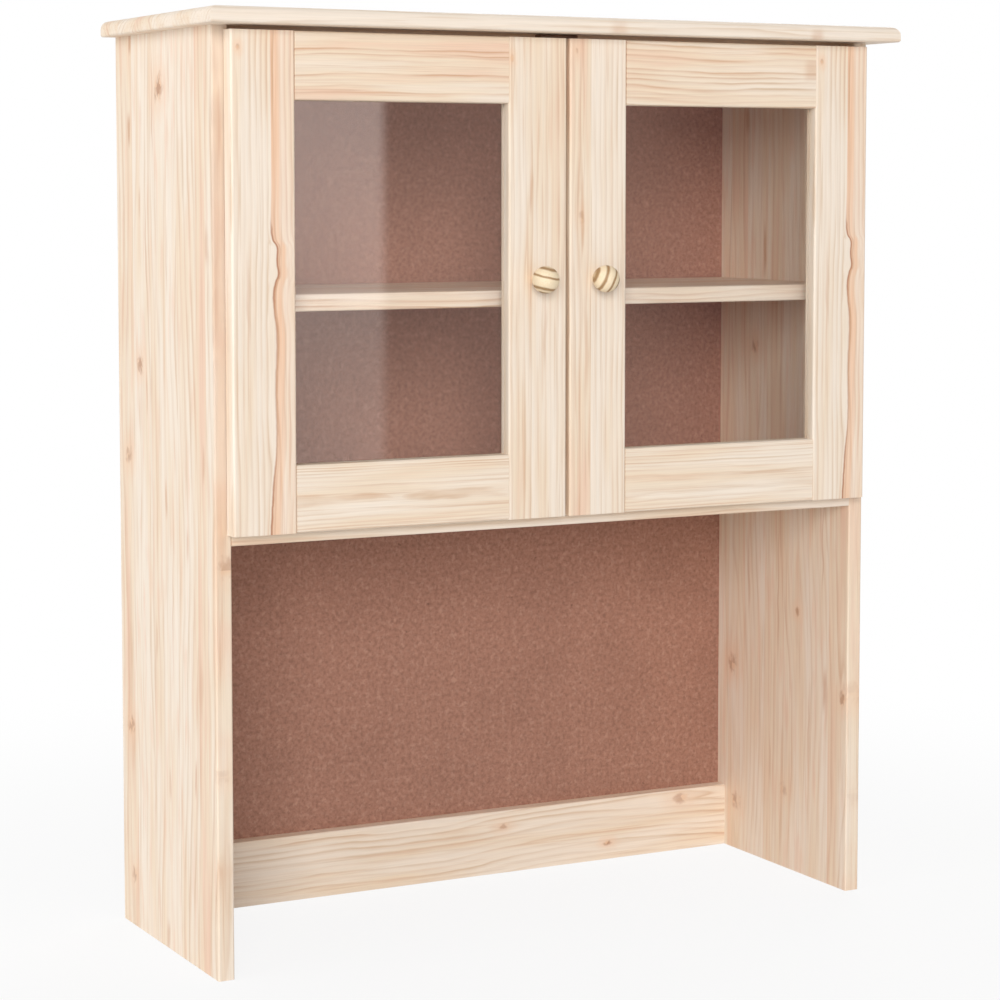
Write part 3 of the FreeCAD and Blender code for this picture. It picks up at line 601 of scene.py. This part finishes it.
# boxes of the separate solids in one CAD node; corners nearer than weldDistance are one
weldDistance = 1e-6


def solidBoxes(name):
    shape = bmesh.new()
    shape.from_mesh(nodes[name].data)
    bmesh.ops.remove_doubles(shape, verts=shape.verts, dist=weldDistance)
    boxes, seen = [], set()
    for first in shape.verts:
        if first in seen:
            continue
        seen.add(first)
        queue, corners = [first], []
        while queue:
            vert = queue.pop()
            corners.append(vert.co.copy())
            fresh = [edge.other_vert(vert) for edge in vert.link_edges]
            fresh = [other for other in fresh if other not in seen]
            seen.update(fresh)
            queue.extend(fresh)
        boxes.append((Vector([min(c[i] for c in corners) for i in range(3)]),
                      Vector([max(c[i] for c in corners) for i in range(3)])))
    shape.free()
    return boxes


# screws, nails and cams: a domed head with a cross sunk in it, on a tapered shank
hardwareInputs = ("Head Radius", "Head Height", "Rim", "Crown", "Cross Length", "Cross Width", "Cross Depth",
                  "Shank Radius")
headMesh = {"around": 24, "levels": 2, "rings": 3, "crownFrom": 0.9, "shankAround": 12, "shankTip": 0.5,
            "fullTurn": 6.283}


def hardwareTree():
    tree = bpy.data.node_groups.new("crossHeads", "GeometryNodeTree")
    tree.interface.new_socket("Geometry", in_out="INPUT", socket_type="NodeSocketGeometry")
    for label in hardwareInputs:
        tree.interface.new_socket(label, in_out="INPUT", socket_type="NodeSocketFloat")
    tree.interface.new_socket("Seed", in_out="INPUT", socket_type="NodeSocketInt")
    tree.interface.new_socket("Finish", in_out="INPUT", socket_type="NodeSocketMaterial")
    tree.interface.new_socket("Geometry", in_out="OUTPUT", socket_type="NodeSocketGeometry")
    plan = Plan(tree)
    given = plan.add("NodeGroupInput")
    radius, height, rim, crown, *cross, shankRadius = (given.of(label) for label in hardwareInputs)
    crossLength, crossWidth, crossDepth = cross

    head = plan.add("GeometryNodeMeshCone", {"fill_type": "TRIANGLE_FAN"}, {
        "Vertices": headMesh["around"], "Side Segments": headMesh["levels"],
        "Fill Segments": headMesh["rings"], "Radius Top": radius * rim, "Radius Bottom": radius,
        "Depth": height})
    spot = plan.add("SeparateXYZ", None, [plan.add("GeometryNodeInputPosition")])
    fromAxis = (spot * spot + spot.of(1) * spot.of(1)) / (radius * radius)
    rise = crown * (1.0 - fromAxis) * spot.of(2).sum("GREATER_THAN", height * headMesh["crownFrom"])
    domed = plan.add("GeometryNodeSetPosition", None, {
        "Geometry": head, "Offset": plan.add("CombineXYZ", None, [0.0, 0.0, rise])})

    top = plan.add("CombineXYZ", None, [0.0, 0.0, height + crown])
    bars = []
    for size in ([crossLength, crossWidth, crossDepth * 2.0], [crossWidth, crossLength, crossDepth * 2.0]):
        bar = plan.add("GeometryNodeMeshCube", None, {"Size": plan.add("CombineXYZ", None, size)})
        bars.append(plan.add("GeometryNodeTransform", None, {"Geometry": bar, "Translation": top}))
    cut = plan.add("GeometryNodeMeshBoolean", {"operation": "DIFFERENCE", "solver": "EXACT"}, [domed, bars])
    above = {"data_type": "FLOAT", "operation": "GREATER_THAN"}
    hasCross = plan.add("FunctionNodeCompare", above, [crossDepth, 0.0])
    whole = plan.add("GeometryNodeSwitch", {"input_type": "GEOMETRY"}, {
        "Switch": hasCross, "False": domed, "True": cut})
    down = plan.add("CombineXYZ", None, [0.0, 0.0, 0.0 - (height + crown)])
    seated = plan.add("GeometryNodeTransform", None, {"Geometry": whole, "Translation": down})

    facing = plan.add("GeometryNodeInputNamedAttribute", {"data_type": "FLOAT_VECTOR"}, {"Name": "facing"})
    reach = plan.add("GeometryNodeInputNamedAttribute", {"data_type": "FLOAT"}, {"Name": "reach"})
    turn = plan.add("FunctionNodeAlignRotationToVector", {"axis": "Z"}, {"Vector": facing})
    heads = plan.add("GeometryNodeInstanceOnPoints", None, {
        "Points": given, "Instance": seated, "Rotation": turn})
    spin = plan.add("FunctionNodeRandomValue", {"data_type": "FLOAT"}, {
        2: 0.0, 3: headMesh["fullTurn"], "Seed": given.of("Seed")}, 1)
    spun = plan.add("GeometryNodeRotateInstances", None, {
        "Instances": heads, "Rotation": plan.add("CombineXYZ", None, [0.0, 0.0, spin]), "Local Space": True})

    shank = plan.add("GeometryNodeMeshCone", None, {
        "Vertices": headMesh["shankAround"], "Radius Top": shankRadius,
        "Radius Bottom": shankRadius * headMesh["shankTip"], "Depth": 1.0})
    hung = plan.add("GeometryNodeTransform", None, {"Geometry": shank, "Translation": (0.0, 0.0, -1.0)})
    inset = plan.add("VectorMath", {"operation": "SCALE"}, {"Vector": facing, "Scale": 0.0 - height})
    under = plan.add("GeometryNodeSetPosition", None, {"Geometry": given, "Offset": inset})
    shanks = plan.add("GeometryNodeInstanceOnPoints", None, {
        "Points": under, "Instance": hung, "Rotation": turn,
        "Scale": plan.add("CombineXYZ", None, [1.0, 1.0, reach])})
    hasShank = plan.add("FunctionNodeCompare", above, [shankRadius, 0.0])
    chosen = plan.add("GeometryNodeSwitch", {"input_type": "GEOMETRY"}, {"Switch": hasShank, "True": shanks})

    joined = plan.add("GeometryNodeJoinGeometry", None, [[spun, chosen]])
    real = plan.add("GeometryNodeRealizeInstances", None, [joined])
    coated = plan.add("GeometryNodeSetMaterial", None, {"Geometry": real, "Material": given.of("Finish")})
    plan.add("NodeGroupOutput", None, [coated])
    return tree


crossHeads = hardwareTree()
socketOf = {item.name: item.identifier for item in crossHeads.interface.items_tree if item.in_out == "INPUT"}

# sizes in millimetres, in the order of hardwareInputs; facing is the way the heads look
panScrew = {"sizes": (3.2, 1.1, 0.86, 0.7, 3.8, 0.9, 1.0, 1.5), "finish": steel, "slot": "steel"}
strikeScrew = {"sizes": (2.5, 0.9, 0.86, 0.3, 3.0, 0.7, 0.8, 1.2), "finish": steel, "slot": "steel"}
knobScrew = {"sizes": (4.0, 1.6, 0.86, 0.9, 4.8, 1.1, 1.3, 1.9), "finish": steel, "slot": "steel"}
hardware = {
    "hinge_screws": {"body": "carcass", "facing": "inwards", "seed": 3, **panScrew},
    "catch_screws": {"body": "carcass", "facing": "down", "seed": 4, **panScrew},
    "back_panel_nails": {"body": "carcass", "facing": "back", "seed": 5, "finish": steel, "slot": "steel",
                         "sizes": (2.0, 0.45, 0.8, 0.35, 0.0, 0.0, 0.0, 0.9)},
    "cam_locks": {"body": "carcass", "facing": "open", "seed": 6, "finish": casting, "slot": "zinc",
                  "sizes": (7.4, 12.4, 0.98, 0.0, 8.4, 1.8, 3.2, 0.0)},
    "left_hinge_cup_screws": {"body": "left_door", "facing": "back", "seed": 7, **panScrew},
    "right_hinge_cup_screws": {"body": "right_door", "facing": "back", "seed": 8, **panScrew},
    "left_strike_screw": {"body": "left_door", "facing": "back", "seed": 9, **strikeScrew},
    "right_strike_screw": {"body": "right_door", "facing": "back", "seed": 10, **strikeScrew},
    "left_door_knob_screw": {"body": "left_door", "facing": "back", "seed": 11, **knobScrew},
    "right_door_knob_screw": {"body": "right_door", "facing": "back", "seed": 12, **knobScrew},
}


# cams below this height, in metres, open downwards and the others inwards
camLevel = 0.5


def headWay(facing, middle):
    inwards = Vector((-1.0 if middle.x > 0 else 1.0, 0.0, 0.0))
    ways = {"inwards": inwards, "down": Vector((0.0, 0.0, -1.0)), "back": Vector((0.0, 1.0, 0.0))}
    if facing == "open":
        facing = "down" if middle.z < camLevel else "inwards"
    return ways[facing]


def hardwareSet(node, body, facing, seed, sizes, finish, slot):
    spots, ways, reaches = [], [], []
    headHeight = sizes[hardwareInputs.index("Head Height")] / perMetre
    for low, high in solidBoxes(node):
        middle = (low + high) / 2
        way = headWay(facing, middle)
        length = abs((high - low).dot(way))
        spots.append(middle + way * (length / 2))
        ways.extend(way)
        reaches.append(length - headHeight)
    mesh = bpy.data.meshes.new(node + "_set")
    mesh.from_pydata(spots, [], [])
    mesh.attributes.new("facing", "FLOAT_VECTOR", "POINT").data.foreach_set("vector", ways)
    mesh.attributes.new("reach", "FLOAT", "POINT").data.foreach_set("value", reaches)
    piece = addThing(node + "_set", mesh)
    maker = piece.modifiers.new("crossHeads", "NODES")
    maker.node_group = crossHeads
    for label, size in zip(hardwareInputs, sizes):
        maker[socketOf[label]] = size if label == "Rim" else size / perMetre
    maker[socketOf["Seed"]] = seed
    maker[socketOf["Finish"]] = finish
    solid = bpy.data.meshes.new_from_object(piece.evaluated_get(bpy.context.evaluated_depsgraph_get()))
    piece.modifiers.remove(maker)
    piece.data = solid
    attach(piece, body)
    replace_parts(piece, node)
    return len(spots)


counts = {node: hardwareSet(node, **row) for node, row in hardware.items()}
print("hardware set:", sum(counts.values()), "screws, nails and cams")


# clear window glass, which lets light pass into the cabinet
glassLook = {"tint": (0.985, 0.985, 0.98, 1), "pass": (0.975, 0.975, 0.97, 1), "index": 1.5}


def windowGlass(look=glassLook):
    paint = Finish("windowGlass")
    pane = paint.add("BsdfPrincipled", None, {
        "Base Color": look["tint"], "Roughness": 0.0, "IOR": look["index"], "Transmission Weight": 1.0})
    clear = paint.add("BsdfTransparent", None, {"Color": look["pass"]})
    path = paint.add("LightPath", None, None, "Is Shadow Ray")
    passing = path.sum("MAXIMUM", path.of("Is Diffuse Ray"))
    return paint.show(paint.add("MixShader", None, [passing, pane, clear]))


dress(windowGlass(), "left_door_glass", "right_door_glass")


# double magnetic catch: a moulded housing with two magnets between steel pole plates, in millimetres
catch = {
    "nose": 0.8, "round": 1.4, "segments": 2,
    "magnetWidth": 9.6, "magnetPlace": 13.0, "magnetLow": 967.2, "magnetHigh": 972.0,
    "frame": 1.3, "frameBack": 0.4, "frameLift": 0.1, "frameDepth": 4.0, "frameRound": 0.35,
    "plate": 0.9, "plateDepth": 6.0, "plateRound": 0.15,
}
plasticLook = {
    "light": tone(148, 110, 86), "dark": tone(134, 98, 76), "skinFine": 1.4, "skin": (0.3, 0.7),
    "roughness": 0.35, "roughSpan": 0.2, "reliefStrength": 0.1, "reliefDepth": 0.0003,
}


def catchPlastic(look=plasticLook):
    paint = Finish("catchPlastic")
    spots = paint.place()
    skin = paint.noise(*[spots[axis] * look["skinFine"] for axis in "XYZ"], 3.0)
    colour = paint.mix(look["light"], look["dark"], paint.ease(skin, *look["skin"]))
    relief = paint.bump(skin, look["reliefStrength"], look["reliefDepth"])
    rough = skin * look["roughSpan"] + look["roughness"]
    return paint.surface(Base_Color=colour, Roughness=rough, Normal=relief)


def addBlock(shape, low, high, rounding):
    corners = bmesh.ops.create_cube(shape, size=1.0)["verts"]
    for corner in corners:
        corner.co = [(a + (b - a) * (c + 0.5)) / perMetre for a, b, c in zip(low, high, corner.co)]
    edges = [edge for edge in shape.edges if edge.verts[0] in corners]
    bmesh.ops.bevel(shape, geom=edges, offset=rounding / perMetre, segments=catch["segments"], profile=0.5,
                    affect="EDGES")


def addPiece(name, shape, material, body):
    mesh = bpy.data.meshes.new(name)
    shape.to_mesh(mesh)
    shape.free()
    mesh.materials.append(material)
    piece = addThing(name, mesh)
    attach(piece, body)
    return piece


low, high = (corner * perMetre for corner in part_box("magnetic_catch"))
housing, poles = bmesh.new(), bmesh.new()
addBlock(housing, (low.x, low.y + catch["nose"], low.z), tuple(high), catch["round"])
for side in (-1.0, 1.0):
    middle, half = side * catch["magnetPlace"], catch["magnetWidth"] / 2
    bottom, top = catch["magnetLow"], catch["magnetHigh"]
    rim, plate = catch["frame"], catch["plate"]
    near, far = low.y + catch["frameBack"], low.y + catch["frameDepth"]
    addBlock(housing, (middle - half - rim, near, low.z + catch["frameLift"]),
             (middle + half + rim, far, top + rim), catch["frameRound"])
    for level in (bottom, top - plate):
        addBlock(poles, (middle - half, low.y, level),
                 (middle + half, low.y + catch["plateDepth"], level + plate), catch["plateRound"])
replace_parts(addPiece("catch_housing", housing, catchPlastic(), "carcass"), "magnetic_catch")
addPiece("catch_poles", poles, nickel, "carcass")
print("catch made")

# studio: pale floor, soft light from the front left, white surroundings;
# the floor fades from near to away, in millimetres, and its span and drop are in metres
studio = {
    "sky": 0.38, "floor": 0.86, "shadow": 0.12, "near": 500.0, "away": 1500.0, "span": 30.0, "drop": 0.0004,
}
white = (1.0, 1.0, 1.0, 1.0)
world = bpy.data.worlds.new("studioSky")
scene.world = world
world.use_nodes = True
sky = Plan(world.node_tree)
sky.tree.nodes.clear()
glow = sky.add("Background", None, {"Color": white, "Strength": studio["sky"]})
backdrop = sky.add("Background", None, {"Color": white, "Strength": 1.0})
sky.add("OutputWorld", None, {"Surface": sky.add("MixShader", None, [sky.inSight(), glow, backdrop])})

span, drop = studio["span"], studio["drop"]
floor = addSheet("studioFloor", [(-span, -span, -drop), (span, -span, -drop),
                                 (span, span, -drop), (-span, span, -drop)])
floorPaint = Finish("paleFloor")
matt = floorPaint.add("BsdfDiffuse", None, {"Color": (studio["floor"],) * 3 + (1.0,)})
lit = floorPaint.add("Emission", None, {"Color": white, "Strength": 1.0})
ground = floorPaint.place()
away = (ground["X"] * ground["X"] + ground["Y"] * ground["Y"]).sum("SQRT")
bright = floorPaint.ease(away, studio["near"], studio["away"], 1.0 - studio["shadow"], 1.0)
floorMix = floorPaint.add("MixShader", None, [floorPaint.inSight() * bright, matt, lit])
floor.data.materials.append(floorPaint.show(floorMix))

# a glowing sheet out of the picture, seen only in reflections, which paints reflections on the panes: a lit
# cloth, a warm wood-toned patch and a dark flag;
# its outline is in metres, the borders of the three and the height of the light in millimetres
screen = {
    "left": -3.0, "right": 3.4, "low": -0.2, "high": 1.7, "far": -3.0,
    "cloth": (1.4, 1.13, 1.05), "wood": (1.2, 0.8, 0.7, 1.0), "flag": (0.22, 0.09, 0.12, 1.0),
    "light": (250.0, 1000.0, 1.42, 2.4), "onWarmPatch": (1132.0, 1170.0), "onFlag": (1600.0, 2200.0),
}
left, right, far = screen["left"], screen["right"], screen["far"]
screenThing = addSheet("studioScreen", [(left, far, screen["low"]), (right, far, screen["low"]),
                                        (right, far, screen["high"]), (left, far, screen["high"])])
for kind in ("camera", "diffuse", "shadow", "volume_scatter"):
    setattr(screenThing, "visible_" + kind, False)
screenPaint = Finish("paintedReflectionScreen")
spots = screenPaint.place()
# painted reflection: the cloth's glow grows with height
strength = screenPaint.ease(spots["Z"], *screen["light"])
shade = screenPaint.add("CombineColor", None, [strength * part for part in screen["cloth"]])
# painted reflection: a warm glowing patch that lightens the panes, then a dark glowing flag at the right
shade = screenPaint.mix(shade, screen["wood"], screenPaint.ease(spots["X"], *screen["onWarmPatch"]))
shade = screenPaint.mix(shade, screen["flag"], screenPaint.ease(spots["X"], *screen["onFlag"]))
glowing = screenPaint.add("Emission", None, {"Color": shade})
unseen = screenPaint.add("BsdfTransparent", None, {"Color": white})
mirrored = screenPaint.add("LightPath", None, None, "Glossy Depth").sum("GREATER_THAN", 0.5)
shown = screenPaint.add("MixShader", None, [mirrored, unseen, glowing])
screenThing.data.materials.append(screenPaint.show(shown))

# lamps, in metres and watts
lampTarget = Vector((0.0, 0.0, 0.5))
lamps = {
    "sideLight": {"place": (-5.4, -0.9, 1.9), "size": 4.4, "power": 118.0},
    "frontLight": {"place": (-8.1, -15.9, 5.5), "size": 7.6, "power": 1845.0},
    "rearLight": {"place": (5.6, 6.2, 4.4), "size": 5.0, "power": 260.0},
}


def softLight(name, place, size, power):
    lamp = bpy.data.lights.new(name, "AREA")
    lamp.shape = "SQUARE"
    lamp.size = size
    lamp.energy = power
    thing = addThing(name, lamp)
    thing.location = place
    thing.rotation_euler = (lampTarget - Vector(place)).to_track_quat("-Z", "Y").to_euler()


for name, lamp in lamps.items():
    softLight(name, **lamp)

# camera of the photograph
view = {"place": (-1.4302, -2.6901, 0.8177), "turn": 27.796, "dip": 4.472, "lens": 98.26, "sensor": 36.0,
        "shift": -0.10}
camera = bpy.data.cameras.new("photoCamera")
camera.lens = view["lens"]
camera.sensor_width = view["sensor"]
camera.shift_y = view["shift"]
cameraThing = addThing("photoCamera", camera)
cameraThing.location = view["place"]
cameraThing.rotation_euler = (math.radians(90.0 - view["dip"]), 0.0, math.radians(-view["turn"]))
scene.camera = cameraThing
print("studio set")
